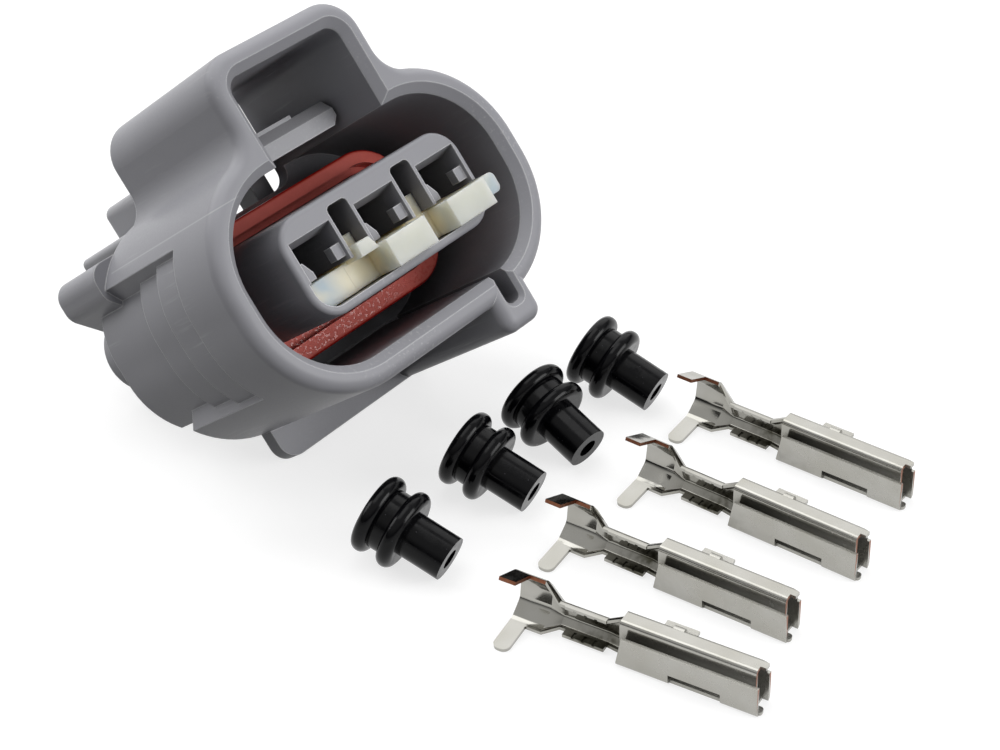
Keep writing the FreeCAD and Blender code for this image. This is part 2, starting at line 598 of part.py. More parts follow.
def make_ring_seal():
    """A ring round the plug with outer lips and a channel in its front face."""
    def oval(name, grow, front, depth):
        wide = f"(plug_half_width + {grow})"
        drop = f"(plug_drop + {grow} + seal_sag * ({grow}) / seal_thick)"
        return rounded_prism(name, f"-{wide}", wide, f"-{drop}", f"plug_rise + {grow}",
                             f"plug_corner + {grow}", front, depth)
    length = "(hood_depth - web - seal_front)"
    body = oval("seal_body", "(seal_thick - seal_groove)", "seal_front + 0.3", f"{length} - 0.3")
    lips = [body]
    step = f"({length} / seal_lips)"
    for lip in range(int(value("seal_lips"))):
        ring = oval(f"seal_lip_{lip}", "seal_thick", f"seal_front + {lip} * {step}", f"0.62 * {step}")
        lips.append(soften(f"seal_lip_soft_{lip}", ring, "seal_lip_round",
                           lambda edge: not runs_along(edge, 1)))
    hole = oval("seal_hole_through", "seal_play", "seal_front - 1", f"{length} + 2")
    channel = oval("seal_channel_cut", "seal_channel", "seal_front - 1", "2.1")
    return cut("ring_seal", fuse("seal_lips_joined", lips), fuse("seal_hollow", [hole, channel]))


def make_retainer():
    """Strip across the plug: three blocks, two fingers, a tongue and an end tab."""
    low, height = "-(pocket_drop - play)", "pocket_drop - window_sill - 2 * play"
    left = "pocket_left - play"
    bar = box("bar", f"-({left})", "bar_sunk", low, f"{left} + cavity_pitch + block_width / 2",
              "retainer_depth", height)
    block = box("block_0", f"-({left})", "block_sunk", low, f"{left} - cavity_pitch + block_width / 2",
                "1", height)
    pieces = [round_lower_left(piece, left, "pocket_drop - play", "pocket_round - play")
              for piece in (bar, block)]
    for side in (0, 1):
        pieces.append(box(f"block_{side + 1}", f"{side} * cavity_pitch - block_width / 2", "-block_proud",
                          low, "block_width", "block_proud + bar_sunk + 0.5", height))
    block_end = "(cavity_pitch + block_width / 2)"
    pieces.append(rounded_prism("end_tab", f"{block_end} - 1", f"{block_end} + tab_reach",
                                "-(window_sill + play + tab_height)", "-(window_sill + play)",
                                "tab_height * 0.3", "-tab_proud", "tab_proud + bar_sunk + 0.5"))
    for side in (-1, 1):
        middle = f"({side} * cavity_pitch / 2 + slot_shift)"
        pieces.append(box(f"finger_{side + 1}", f"{middle} - slot_width / 2 + play", "finger_front",
                          "-(window_sill + play + 0.5)", "slot_width - 2 * play", "finger_depth",
                          "window_sill + play + 0.5 + finger_rise"))
    middle = "(-cavity_pitch / 2 + slot_shift)"
    half = "(slot_width / 2 - play)"
    pieces.append(polygon_prism("tongue",
                                [(f"{middle} - {half}", "-(window_sill + play + 0.2)"),
                                 (f"{middle} + {half}", "-(window_sill + play + 0.2)"),
                                 (f"{middle} + {half} - 0.4", "-tongue_drop"),
                                 (f"{middle} - {half} + 0.15", "-tongue_drop")],
                                "-block_proud / 2", "block_proud / 2 + finger_front + 0.2"))
    return fuse("retainer", pieces)


def make_lever():
    """Rocking latch lever: cross bar, two arms, two legs, thumb plate and pad."""
    top = "bar_bottom + bar_height"
    bar = polygon_bar("cross_bar",
                      [("bar_front", "bar_bottom"), ("bar_front", f"{top} - bar_bevel"),
                       ("bar_front + bar_bevel", top), ("bar_front + bar_depth", top),
                       ("bar_front + bar_depth", "bar_bottom")],
                      "-lever_half_width", "2 * lever_half_width")
    side, low = value("lever_half_width"), value("bar_bottom")
    bar = soften("cross_bar_bevelled", bar, "bar_bevel * 0.7",
                 lambda edge: runs_along(edge, 1) and near(abs(edge.CenterOfMass.x), side)
                 and near(edge.CenterOfMass.z, low), "Part::Chamfer")
    step = box("bar_step", "-step_half_width", "bar_front + bar_bevel", f"{top} - 0.1",
               "2 * step_half_width", "bar_depth - bar_bevel", "step_height + 0.1")
    inner = "lever_half_width - arm_width"
    arm = box("arm", inner, "bar_front + bar_depth - 0.3", "bar_bottom + 0.2", "arm_width",
              "hood_depth + plate_start - bar_front - bar_depth + 0.6", "arm_height")
    leg = box("leg", inner, "hood_depth + pivot_back - leg_depth / 2", "pivot_z", "arm_width", "leg_depth",
              "bar_bottom - pivot_z + 0.4")
    heel = rod("heel", inner, "hood_depth + pivot_back", "pivot_z", "leg_depth / 2", "arm_width",
               Vector(1, 0, 0))
    sides = pair("lever_sides", fuse("lever_side", [arm, leg, heel]))
    plate = box("thumb_plate", "-plate_half_width", "hood_depth + plate_start", "plate_bottom",
                "2 * plate_half_width", "plate_length", "plate_height")
    plate = soften("thumb_plate_soft", plate, "plate_height * 0.4",
                   lambda edge: runs_along(edge, 2) or edge.CenterOfMass.z > value("plate_bottom") + 0.1)
    pad = box("thumb_pad", "-pad_half_width", "hood_depth + pad_start", "plate_bottom + plate_height - 0.2",
              "2 * pad_half_width", "pad_depth", "pad_height + 0.2")
    pad = soften("thumb_pad_soft", pad, "pad_height * 0.3",
                 lambda edge: runs_along(edge, 2)
                 or edge.CenterOfMass.z > value("plate_bottom + plate_height + 1"))
    return fuse("latch_lever", [bar, step, sides, plate, pad])


def make_wire_seal(number):
    """A rubber sleeve: two rounded ribs and a plain tube."""
    tube_start = "(rib_pitch + rib_width)"
    end = f"{tube_start} + tube_length"
    sketch = doc.addObject("Sketcher::SketchObject", f"wire_seal_{number}_profile")
    draw_polygon(sketch, [("0", "seal_hole"), ("0", "seal_flange"), ("rib_width", "seal_flange"),
                          ("rib_width", "seal_waist"), ("rib_pitch", "seal_waist"),
                          ("rib_pitch", "seal_flange"), (tube_start, "seal_flange"),
                          (tube_start, "seal_tube"), (end, "seal_tube"), (end, "seal_hole")])
    turned = doc.addObject("Part::Revolution", f"wire_seal_{number}_turned")
    turned.Source = sketch
    turned.Axis = Vector(1, 0, 0)
    turned.Angle = 360
    turned.Solid = True
    return soften(f"wire_seal_{number}", turned, "rib_round",
                  lambda edge: isinstance(edge.Curve, Part.Circle)
                  and near(edge.Curve.Radius, value("seal_flange")))


def bent_line(places, bend, inwards):
    """The edges of a line with round bends, moved sideways to the left by inwards."""
    edges = []
    start = None
    for before, corner, after in zip(places, places[1:], places[2:]):
        into, out = (corner - before).normalize(), (after - corner).normalize()
        turn = into.getAngle(out)
        reach = bend * math.tan(turn / 2)
        centre = corner + (out - into).normalize() * (bend / math.cos(turn / 2))
        radius = bend - inwards
        first, last = (centre + (place - centre) * (radius / bend)
                       for place in (corner - into * reach, corner + out * reach))
        peak = centre - (out - into).normalize() * radius
        left = Vector(0, -into.z, into.y)
        edges.append(Part.makeLine(start or before + left * inwards, first))
        edges.append(Part.Arc(first, peak, last).toShape())
        start = last
    left = Vector(0, -out.z, out.y)
    edges.append(Part.makeLine(start, places[-1] + left * inwards))
    return edges


def strip_outline(points, bend, left, depth=None):
    """Outline of bent sheet: its outer face runs through the points, its thickness lies on the left."""
    places = [Vector(left, y, z) for y, z in points]
    outer = bent_line(places, bend, 0)
    inner = bent_line(places, bend, depth or value("tin"))
    ends = [Part.makeLine(outer[0].Vertexes[0].Point, inner[0].Vertexes[0].Point),
            Part.makeLine(outer[-1].Vertexes[-1].Point, inner[-1].Vertexes[-1].Point)]
    return Part.Wire(Part.__sortEdges__(outer + inner + ends))


def bent_strip(points, bend, left, width, depth=None):
    return Part.Face(strip_outline(points, bend, left, depth)).extrude(Vector(width, 0, 0))


def blended_strip(rear, front):
    """Sheet that changes from one outline to the next along the terminal."""
    return Part.makeLoft([rear, front], True, True)


def round_tips(strip, radius):
    """Round the corners of a strip's free end that is nearest to the viewer."""
    reach = strip.BoundBox.YMin
    tips = [edge for edge in strip.Edges
            if edge.Length < value("tin") * 1.01 and edge.CenterOfMass.y < reach + value("tin")]
    return strip.makeFillet(radius, tips)


def block_at(x, y, z, length, depth, height):
    return Part.makeBox(length, depth, height, Vector(x, y, z))


def folded_box():
    """The mating box: outer flap, floor, back, top and the fold behind the flap."""
    tin, length = value("tin"), value("box_length")
    tall, deep = value("box_height"), value("box_depth")
    flap, inset = value("flap_height"), value("fold_inset")
    line = [(0, flap), (0, 0), (deep, 0), (deep, tall), (inset, tall), (inset, value("fold_end"))]
    folded = bent_strip(line, 1.4 * tin, 0, length)
    outside, behind_flap = 1, 1.15 * tin
    notch = block_at(value("notch_start"), -outside, -outside, value("notch_length"),
                     outside + behind_flap, outside + value("notch_height"))
    rake = Part.makePolygon([Vector(0, -outside, tin), Vector(value("flap_rake"), -outside, flap),
                             Vector(-outside, -outside, flap), Vector(-outside, -outside, tin),
                             Vector(0, -outside, tin)])
    rake = Part.Face(rake).extrude(Vector(0, outside + behind_flap, 0))
    mouth = length - value("mouth_set_back")
    near_part = block_at(mouth, behind_flap, -outside, length, value("mouth_wall") - behind_flap,
                         tall + 2 * outside)
    floor_part = block_at(mouth, behind_flap, -outside, length, deep - tin - behind_flap,
                          outside + 1.5 * tin)
    bevel = value("mouth_bevel")
    start = length - 3 * bevel
    corner = Part.makePolygon([Vector(start, deep, 0), Vector(length, deep - bevel, 0),
                               Vector(length + outside, deep - bevel, 0),
                               Vector(length + outside, deep + outside, 0),
                               Vector(start, deep + outside, 0), Vector(start, deep, 0)])
    corner = Part.Face(corner).extrude(Vector(0, 0, 4 * bevel))
    corner.translate(Vector(0, 0, tall - 3 * bevel))
    folded = folded.cut([notch, rake, near_part, floor_part, corner])
    tongue = block_at(mouth - tin, behind_flap, 0, length - mouth + tin + value("tongue_reach"),
                      value("tongue_width"), tin)
    stiles = [edge for edge in tongue.Edges if runs_along(edge, 2) and edge.CenterOfMass.x > length]
    tongue = tongue.makeFillet(value("tongue_width") * 0.4, stiles)
    lance_start, lance_length = value("lance_start"), value("lance_length")
    root = deep - tin / 2
    lance = block_at(lance_start, root, tall - 2 * tin, lance_length, deep - root + value("lance_reach"), tin)
    bead = Part.makeCylinder(1.2 * tin, lance_length / 3,
                             Vector(lance_start + lance_length / 3, root, tall - tin), Vector(1, 0, 0))
    return [folded, tongue, lance, bead]


def crimp_line(lower, upper):
    """Outer line of the wire crimp between two levels of its free edges."""
    low, top = value("crimp_base"), value("crimp_top")
    deep, corner = value("box_depth"), value("crimp_corner")
    return [(lower, low), (deep - corner, low), (deep, low + corner), (deep, top - corner),
            (deep - corner, top), (upper, top)]


def wire_crimp():
    """An open U with grooves inside, and the low neck that joins it to both neighbours."""
    tin, bend = value("tin"), value("crimp_bend")
    front, length = value("crimp_front"), value("crimp_length")
    rear = -front - length
    lower, upper = value("crimp_open"), value("crimp_upper")
    wall = bent_strip(crimp_line(lower, upper), bend, rear, length)
    width, depth = value("groove_width"), value("groove_depth")
    groove_line = crimp_line(lower - depth, upper - depth)
    grooves = []
    for groove in (1, 2, 3):
        start = rear + groove * length / 4 - width / 2
        outside = bent_strip(groove_line, bend, start, width, tin - depth)
        inside = bent_strip(groove_line, bend, start, width, tin + depth)
        grooves.append(inside.cut(outside))
    arm = value("box_depth - crimp_corner - neck_open") - bend * math.tan(math.radians(22.5))
    neck_line = crimp_line(arm, arm)
    neck_rear = -value("neck_rear")
    neck = bent_strip(neck_line, bend, neck_rear, -front - neck_rear)
    tall, deep, corner = value("box_height"), value("box_depth"), value("crimp_corner")
    join_line = [(arm, 0), (deep - corner, 0), (deep, corner), (deep, tall - corner),
                 (deep - corner, tall), (arm, tall)]
    joint = blended_strip(strip_outline(neck_line, bend, -front), strip_outline(join_line, bend, tin / 2))
    barrel = insulation_line(value("barrel_low_end"), value("barrel_top_end"))
    throat = blended_strip(strip_outline(barrel, value("barrel_bend"), -value("barrel_front")),
                           strip_outline(neck_line, bend, neck_rear))
    return [wall.cut(grooves), neck, joint, throat]


def insulation_line(low_end, top_end):
    """Outer line of the insulation crimp, cut off at two levels towards the viewer."""
    tip_low, tip_high = (value("paddle_low_y"), 0), (value("paddle_high_y"), value("paddle_high_z"))
    low = (value("barrel_low_y"), value("barrel_low_z"))
    top = (value("barrel_top_y"), value("barrel_top_z"))
    deep = value("box_depth")

    def along(root, tip, level):
        share = (level - root[0]) / (tip[0] - root[0])
        return (level, root[1] + share * (tip[1] - root[1]))

    return [along(low, tip_low, low_end), low, (deep - 0.2, value("barrel_deep_z")),
            (deep + 0.1, value("barrel_high_z")), top, along(top, tip_high, top_end)]


def insulation_crimp():
    """A wide open U whose rear carries two paddles that reach towards the viewer."""
    rear, front, bend = -value("barrel_rear"), -value("barrel_front"), value("barrel_bend")
    width = value("paddle_width")
    paddle = bent_strip(insulation_line(value("paddle_low_y"), value("paddle_high_y")), bend, rear, width)
    barrel = bent_strip(insulation_line(value("barrel_low_end"), value("barrel_top_end")), bend,
                        rear, front - rear)
    return [round_tips(paddle, width * 0.42), barrel]


def terminal_shape():
    """One stamped terminal on its side: folded box, wire crimp and insulation crimp.

    x runs along the terminal with the mating end at +x, y away from the crimp's
    open side and z up as it lies.
    """
    pieces = folded_box() + wire_crimp() + insulation_crimp()
    return pieces[0].fuse(pieces[1:]).removeSplitter()


def place_terminal(terminal, across, along, yaw):
    """Lay it down flat on the box's floor."""
    terminal.Placement = Placement(Vector(across, along, 0), Rotation(Vector(0, 0, 1), yaw))


def place_wire_seal(seal, across, along, yaw):
    """Lay it down on its second rib and on the edge of its tube."""
    bead = value("rib_round")
    rib_at, rib = value("rib_pitch + rib_width") - bead, value("seal_flange") - bead
    end, tube = value("rib_pitch + rib_width + tube_length"), value("seal_tube")
    run, drop = end - rib_at, rib - tube
    lean = math.atan2(drop, run) + math.asin(bead / math.hypot(run, drop))
    lift = end * math.sin(lean) + tube * math.cos(lean)
    turn = Rotation(Vector(0, 0, 1), yaw) * Rotation(Vector(0, 1, 0), math.degrees(lean))
    seal.Placement = Placement(Vector(across, along, lift), turn)


def connector_placement():
    """The connector rests on the foot's rear edge and on the ends of the towers."""
    run = value("tower_reach")
    rise = value("foot_drop - tower_radius")
    tip = math.atan2(rise, run)
    lift = value("hood_depth") * math.sin(tip) + value("foot_drop") * math.cos(tip)
    return Placement(Vector(0, 0, lift), Rotation(Vector(1, 0, 0), -math.degrees(tip)))


def spot(kind, number):
    return [value(f"{kind}_{number}_{part}") for part in ("x", "y", "turn")]


LOOSE_OF_EACH = 4

connector = [make_housing(), make_ring_seal(), make_retainer(), make_lever()]
doc.recompute()
for piece in connector:
    piece.Placement = connector_placement()

loose = []
for number in range(1, LOOSE_OF_EACH + 1):
    seal = make_wire_seal(number)
    doc.recompute()
    place_wire_seal(seal, *spot("seal", number))
    loose.append(seal)
stamped = terminal_shape()
for number in range(1, LOOSE_OF_EACH + 1):
    terminal = doc.addObject("Part::Feature", f"terminal_{number}")
    terminal.Shape = stamped
    place_terminal(terminal, *spot("terminal", number))
    loose.append(terminal)
doc.recompute()

# The origin is the middle of the whole kit, on the surface it lies on.
kit = connector + loose
extent = FreeCAD.BoundBox()
for piece in kit:
    extent.add(piece.Shape.optimalBoundingBox(False))
shift = Vector(-extent.Center.x, -extent.Center.y, -extent.ZMin)
for piece in kit:
    piece.Placement = Placement(piece.Placement.Base + shift, piece.Placement.Rotation)
doc.recompute()

for item in doc.Objects:
    if "Invalid" in item.State or "Error" in item.State:
        raise SystemExit(f"{item.Name} did not recompute: {item.State}")
os.makedirs("parts", exist_ok=True)
for piece in kit:
    piece.Label = piece.Name
    shape = piece.Shape
    if shape.isNull() or not shape.isValid() or len(shape.Solids) != 1:
        raise SystemExit(f"{piece.Name} is not one valid solid")
    shape.exportStep(f"parts/{piece.Name}.step")
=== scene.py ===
# %% [markdown]
# # A sealed plug-in connector and its loose parts
#
# The object is a small grey connector moulding for a wet place, such as an engine bay,
# with a red ring seal, an off-white retainer and a rocking latch. Four black wire
# seals and four tin-plated crimp terminals lie in two rows in front of it. The pieces
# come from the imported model, so this script only gives them their finishes, adds what
# is too fine for the solids, and sets up the camera and the light.

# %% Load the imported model
import json
import math

import bmesh
import bpy
from mathutils import Matrix, Vector

MM = 0.001
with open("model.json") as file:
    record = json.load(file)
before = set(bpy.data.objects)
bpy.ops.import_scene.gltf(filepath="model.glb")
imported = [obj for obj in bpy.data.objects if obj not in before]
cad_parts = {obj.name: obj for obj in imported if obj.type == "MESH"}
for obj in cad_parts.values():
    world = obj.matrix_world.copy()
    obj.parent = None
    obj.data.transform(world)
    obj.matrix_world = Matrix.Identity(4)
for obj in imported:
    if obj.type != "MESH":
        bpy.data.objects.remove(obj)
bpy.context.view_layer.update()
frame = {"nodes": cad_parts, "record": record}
nodes = frame["nodes"]
print("nodes:", ", ".join(sorted(nodes)))

# %% [markdown]
# ## Where the camera stands
#
# The photograph is a product picture taken from about 16 cm with a short telephoto
# lens. It looks down over the connector's open mouth from the left. The camera aims at
# a spot on the table, and a small roll matches the photograph's slight lean. The lamps
# further down are placed by the same two angles, so one function works them out.


# %% Camera
def direction(azimuth, elevation):
    """Unit vector for two angles in degrees. The azimuth turns from -Y towards +X."""
    around = math.radians(azimuth)
    above = math.radians(elevation)
    return Vector((math.sin(around) * math.cos(above),
                   -math.cos(around) * math.cos(above),
                   math.sin(above)))


AIM = Vector((8.807, 5.120, 0.0)) * MM
DISTANCE = 158.783 * MM
AZIMUTH = -48.684
ELEVATION = 36.314
ROLL = math.radians(-2.572)
LENS = 75.658
SENSOR_WIDTH = 36.0
NEAREST = 0.005
FARTHEST = 10.0

backwards = direction(AZIMUTH, ELEVATION)
level_right = Vector((0, 0, 1)).cross(backwards).normalized()
level_up = backwards.cross(level_right)
right = level_right * math.cos(ROLL) + level_up * math.sin(ROLL)
up = backwards.cross(right)

camera_data = bpy.data.cameras.new("camera")
camera_data.lens = LENS
camera_data.sensor_width = SENSOR_WIDTH
camera_data.clip_start = NEAREST
camera_data.clip_end = FARTHEST
camera = bpy.data.objects.new("camera", camera_data)
axes = Matrix((right, up, backwards)).transposed().to_4x4()
camera.matrix_world = Matrix.Translation(AIM + backwards * DISTANCE) @ axes
bpy.context.scene.collection.objects.link(camera)
bpy.context.scene.camera = camera
bpy.context.scene.view_settings.view_transform = "Standard"
print("camera at", [round(value / MM, 1) for value in camera.location], "mm")

# %% [markdown]
# ## Small helpers for materials
#
# Colours are written as the hex values one reads off a screen, and one function turns
# them to the linear numbers that a shader works in. One more adds a node with its
# settings and links, so that each material below reads from top to bottom.


# %% Colour and node helpers
def linear(hex_colour):
    """sRGB hex, such as '#8A8A8E', to the linear values of a shader socket."""
    channels = [int(hex_colour[start:start + 2], 16) / 255 for start in (1, 3, 5)]
    return [channel / 12.92 if channel <= 0.04045 else ((channel + 0.055) / 1.055) ** 2.4
            for channel in channels] + [1.0]


def add(material, kind, settings=(), **inputs):
    """Add a node. An input is a plain value, or another node's output socket.

    An input has its name on the node, with _ for a space, or its place, such as i0.
    A Mix node of colours has its two colours at i6 and i7 and gives outputs[2].
    A Mix node of plain numbers has them at i2 and i3 and gives outputs[0].
    """
    node = material.node_tree.nodes.new(kind)
    for name, setting in dict(settings).items():
        setattr(node, name, setting)
    for name, wanted in inputs.items():
        has_place = name[0] == "i" and name[1:].isdigit()
        socket = node.inputs[int(name[1:]) if has_place else name.replace("_", " ")]
        if isinstance(wanted, bpy.types.NodeSocket):
            material.node_tree.links.new(wanted, socket)
        else:
            socket.default_value = wanted
    return node


def new_material(name):
    """A material with nothing but a shader joined to its output, and that shader."""
    material = bpy.data.materials.new(name)
    material.use_nodes = True
    material.node_tree.nodes.clear()
    shader = add(material, "ShaderNodeBsdfPrincipled")
    output = add(material, "ShaderNodeOutputMaterial")
    material.node_tree.links.new(shader.outputs["BSDF"], output.inputs["Surface"])
    return material, shader


def link(material, source, shader, socket):
    """Let a node's output drive one of the shader's sockets."""
    material.node_tree.links.new(source, shader.inputs[socket])


def per_metre(size_mm):
    """Texture scale for a feature of that size: how many fit in a metre."""
    return 1000.0 / size_mm


def dress(node_names, material):
    """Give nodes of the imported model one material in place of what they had."""
    for name in node_names:
        nodes[name].data.materials.clear()
        nodes[name].data.materials.append(material)
    print(material.name, "on", ", ".join(node_names))


# %% [markdown]
# ## The connector's own directions
#
# The connector leans: it rests on its foot and on the ends of its seal towers. Its
# finishes follow the way it was moulded, so they need its own directions: x across the
# cavities, y from the mating face to the rear and z away from the foot. The packed
# record names the mating face, and one mapping turns a point of the table into these.

# %% The leaning frame
mating_face = next(mount for mount in frame["record"]["mounts"] if mount["name"] == "mating_face")
face_middle = Vector(mating_face["pos_m"])
rearward = -Vector(mating_face["axis"])
LEAN = math.atan2(-rearward.z, rearward.y)
print("the connector leans by", round(math.degrees(LEAN), 1), "degrees")


def stand_up(material, vector):
    """Turn a direction on the table into the connector's own directions."""
    turned = add(material, "ShaderNodeVectorRotate", {"rotation_type": "X_AXIS"}, Vector=vector, Angle=LEAN)
    return turned.outputs["Vector"]


def leaning_place(material):
    """Place in the connector's own frame, from its mating face, in metres."""
    table_place = add(material, "ShaderNodeTexCoord").outputs["Object"]
    from_face = add(material, "ShaderNodeVectorMath", {"operation": "SUBTRACT"},
                    i0=table_place, i1=tuple(face_middle))
    return stand_up(material, from_face.outputs[0])


def leaning_normal(material):
    """The true surface direction in the connector's own frame."""
    return stand_up(material, add(material, "ShaderNodeNewGeometry").outputs["Normal"])


# %% [markdown]
# ## The table and the background
#
# The photograph stands on pure white and its undersides are dark, as if it lay on glass
# over a dark room. A floor that looks white to the camera and in reflections, but that
# throws little light back up, gives both and still keeps the object's shadow.

# %% Floor material
FLOOR_LIT = "#38383A"
FLOOR_SEEN = "#9A9A9A"
FLOOR_GLOW = 0.72


def white_paper():
    """Pale where the camera or a reflection sees it, dark in the light it passes on."""
    material, shader = new_material("matt_white_paper")
    rays = add(material, "ShaderNodeLightPath")
    seen = add(material, "ShaderNodeMath", {"operation": "MAXIMUM"},
               i0=rays.outputs["Is Camera Ray"], i1=rays.outputs["Is Glossy Ray"])
    seen = add(material, "ShaderNodeMath", {"operation": "MAXIMUM"},
               i0=seen.outputs[0], i1=rays.outputs["Is Transmission Ray"])
    tint = add(material, "ShaderNodeMix", {"data_type": "RGBA"}, i0=seen.outputs[0],
               i6=linear(FLOOR_LIT), i7=linear(FLOOR_SEEN))
    glow = add(material, "ShaderNodeMath", {"operation": "MULTIPLY"}, i0=seen.outputs[0], i1=FLOOR_GLOW)
    link(material, tint.outputs[2], shader, "Base Color")
    link(material, glow.outputs[0], shader, "Emission Strength")
    shader.inputs["Emission Color"].default_value = (1, 1, 1, 1)
    shader.inputs["Roughness"].default_value = 0.9
    shader.inputs["Specular IOR Level"].default_value = 0.0
    return material


# %% [markdown]
# ## A floor that ends in white
#
# From low down a flat floor would end at a dark horizon. A photographer's paper turns up
# behind the object, and this one does so all round, in a smooth bend to a low wall. Its
# outline is a short list of radii and heights in metres, and a loop turns that round.

# %% Floor mesh
SWEEP = ((0.3, 0.0), (2.2, 0.0), (2.5, 0.02), (2.7, 0.08), (2.82, 0.18), (2.88, 0.32), (2.9, 0.56))
SWEEP_STEPS = 64
FLOOR_DROP_MM = 0.02


def paper_sweep(material):
    """A round floor that turns up at its rim."""
    corners = [(0.0, 0.0, 0.0)]
    for radius, height in SWEEP:
        for step in range(SWEEP_STEPS):
            turn = 2 * math.pi * step / SWEEP_STEPS
            corners.append((radius * math.cos(turn), radius * math.sin(turn), height))
    faces = [(0, 1 + step, 1 + (step + 1) % SWEEP_STEPS) for step in range(SWEEP_STEPS)]
    for ring in range(len(SWEEP) - 1):
        inner = 1 + ring * SWEEP_STEPS
        outer = inner + SWEEP_STEPS
        for step in range(SWEEP_STEPS):
            after = (step + 1) % SWEEP_STEPS
            faces.append((inner + step, outer + step, outer + after, inner + after))
    mesh = bpy.data.meshes.new("floor")
    mesh.from_pydata(corners, [], faces)
    mesh.polygons.foreach_set("use_smooth", [True] * len(faces))
    mesh.materials.append(material)
    floor = bpy.data.objects.new("floor", mesh)
    floor.location.z = -FLOOR_DROP_MM * MM
    bpy.context.scene.collection.objects.link(floor)
    print("floor of", len(faces), "faces,", 2 * SWEEP[-1][0], "m across")


paper_sweep(white_paper())

# %% [markdown]
# ## A room that is dark below
#
# The photograph is brightest on faces that look up, to the back and to the right. Its
# metal shows dark streaks and its black rubber narrow highlights, which is what a room
# with a dark horizon and a few large soft boxes gives. The room is the world, whose
# light grows with height.

# %% Room
ROOM_HEIGHTS = (0.24, 0.64)
ROOM_LEVELS = (0.06, 0.68)

world = bpy.data.worlds.new("dim_studio")
world.use_nodes = True
bpy.context.scene.world = world
sky = world.node_tree.nodes["Background"]
looking = add(world, "ShaderNodeTexCoord").outputs["Generated"]
height = add(world, "ShaderNodeSeparateXYZ", Vector=looking).outputs["Z"]
level = add(world, "ShaderNodeMapRange", Value=height,
            From_Min=ROOM_HEIGHTS[0], From_Max=ROOM_HEIGHTS[1],
            To_Min=ROOM_LEVELS[0], To_Max=ROOM_LEVELS[1])
sky.inputs["Color"].default_value = (1, 1, 1, 1)
world.node_tree.links.new(level.outputs["Result"], sky.inputs["Strength"])
print("the room's light grows from", ROOM_LEVELS[0], "to", ROOM_LEVELS[1])

# %% [markdown]
# ## Soft boxes
#
# A soft box is a rectangular lamp behind a white cloth. Its size softens the shadows and
# its place decides which faces it lights. Each has its place as two angles and a
# distance, and its strength as what it alone would make of a white card, because that
# number can be read off the photograph.

# %% Lamps
# The columns are name, azimuth and elevation in degrees, distance and size in mm, and level.
SOFT_BOXES = (
    ("overhead_box", 180, 80, 430, (320, 260), 0.26),
    ("back_right_box", 131, 38, 560, (760, 460), 0.36),
    ("back_left_box", -166, 36, 520, (420, 300), 0.5),
    ("front_right_box", 22, 22, 520, (340, 260), 0.62),
)


def soft_box(name, azimuth, elevation, distance_mm, size_mm, card_level):
    """A lamp that alone would light a white card facing it to that level."""
    towards = direction(azimuth, elevation)
    data = bpy.data.lights.new(name, "AREA")
    data.shape = "RECTANGLE"
    data.size = size_mm[0] * MM
    data.size_y = size_mm[1] * MM
    data.energy = card_level * (math.pi * distance_mm * MM) ** 2
    lamp = bpy.data.objects.new(name, data)
    lamp.location = towards * distance_mm * MM
    lamp.rotation_mode = "QUATERNION"
    lamp.rotation_quaternion = (-towards).to_track_quat("-Z", "Y")
    bpy.context.scene.collection.objects.link(lamp)
    print(name, "gives", round(data.energy, 2), "W")


for row in SOFT_BOXES:
    soft_box(*row)

# %% [markdown]
# ## Drag lines on the grey mouldings
#
# The housing and the latch are injection moulded PBT, a tough polyester filled with
# glass fibre. The tool slides off along y and leaves faint pale lines in that
# direction. Noise stretched along y gives them, and a second, larger noise keeps them
# to a few patches, because lines all over would look like brushed metal.

# %% Drag lines
DRAG_MM = 0.3
DRAG_STRETCH = 0.04
PATCH_MM = 9


def drag_lines(material, place):
    """The noise of the lines themselves, and how pale they show."""
    stretched = add(material, "ShaderNodeMapping", Vector=place, Scale=(1.0, DRAG_STRETCH, 1.0))
    drag = add(material, "ShaderNodeTexNoise", Vector=stretched.outputs["Vector"],
               Scale=per_metre(DRAG_MM), Detail=4.0, Roughness=0.6)
    mark = add(material, "ShaderNodeMapRange", Value=drag.outputs["Fac"],
               From_Min=0.56, From_Max=0.75, To_Min=0.0, To_Max=0.35)
    patch = add(material, "ShaderNodeTexNoise", Vector=place, Scale=per_metre(PATCH_MM), Detail=1.0)
    patch_mask = add(material, "ShaderNodeMapRange", Value=patch.outputs["Fac"],
                     From_Min=0.52, From_Max=0.66)
    in_patches = add(material, "ShaderNodeMath", {"operation": "MULTIPLY"},
                     i0=mark.outputs["Result"], i1=patch_mask.outputs["Result"])
    return drag.outputs["Fac"], in_patches.outputs[0]


print("drag lines are", DRAG_MM, "mm apart and", DRAG_MM / DRAG_STRETCH, "mm long")

# %% [markdown]
# ## Painted edge highlights and the parting line
#
# Sharp edges get a pale painted highlight. A sharp edge is where a rounded normal
# leaves the true one, so the angle between the two marks it. The mould's halves met on
# the left of the hood and left a thin line there, which is drawn pale as well.

# %% Pale edges
EDGE_ROUND_MM = 0.16
PARTING_HEIGHT_MM = 6.0
PARTING_EDGE_MM = (0.05, 0.03)
PARTING_SIDE_MM = (-9.0, -9.4)
PARTING_END_MM = (15.2, 15.0)


def painted_edge_highlight(material, rounded_normal):
    """Painted highlight: 1 on sharp edges, 0 on open faces."""
    true_normal = add(material, "ShaderNodeNewGeometry").outputs["Normal"]
    agree = add(material, "ShaderNodeVectorMath", {"operation": "DOT_PRODUCT"},
                i0=rounded_normal, i1=true_normal)
    highlight_share = add(material, "ShaderNodeMapRange", Value=agree.outputs["Value"],
               From_Min=0.99, From_Max=0.86, To_Min=0.0, To_Max=0.95)
    return highlight_share.outputs["Result"]


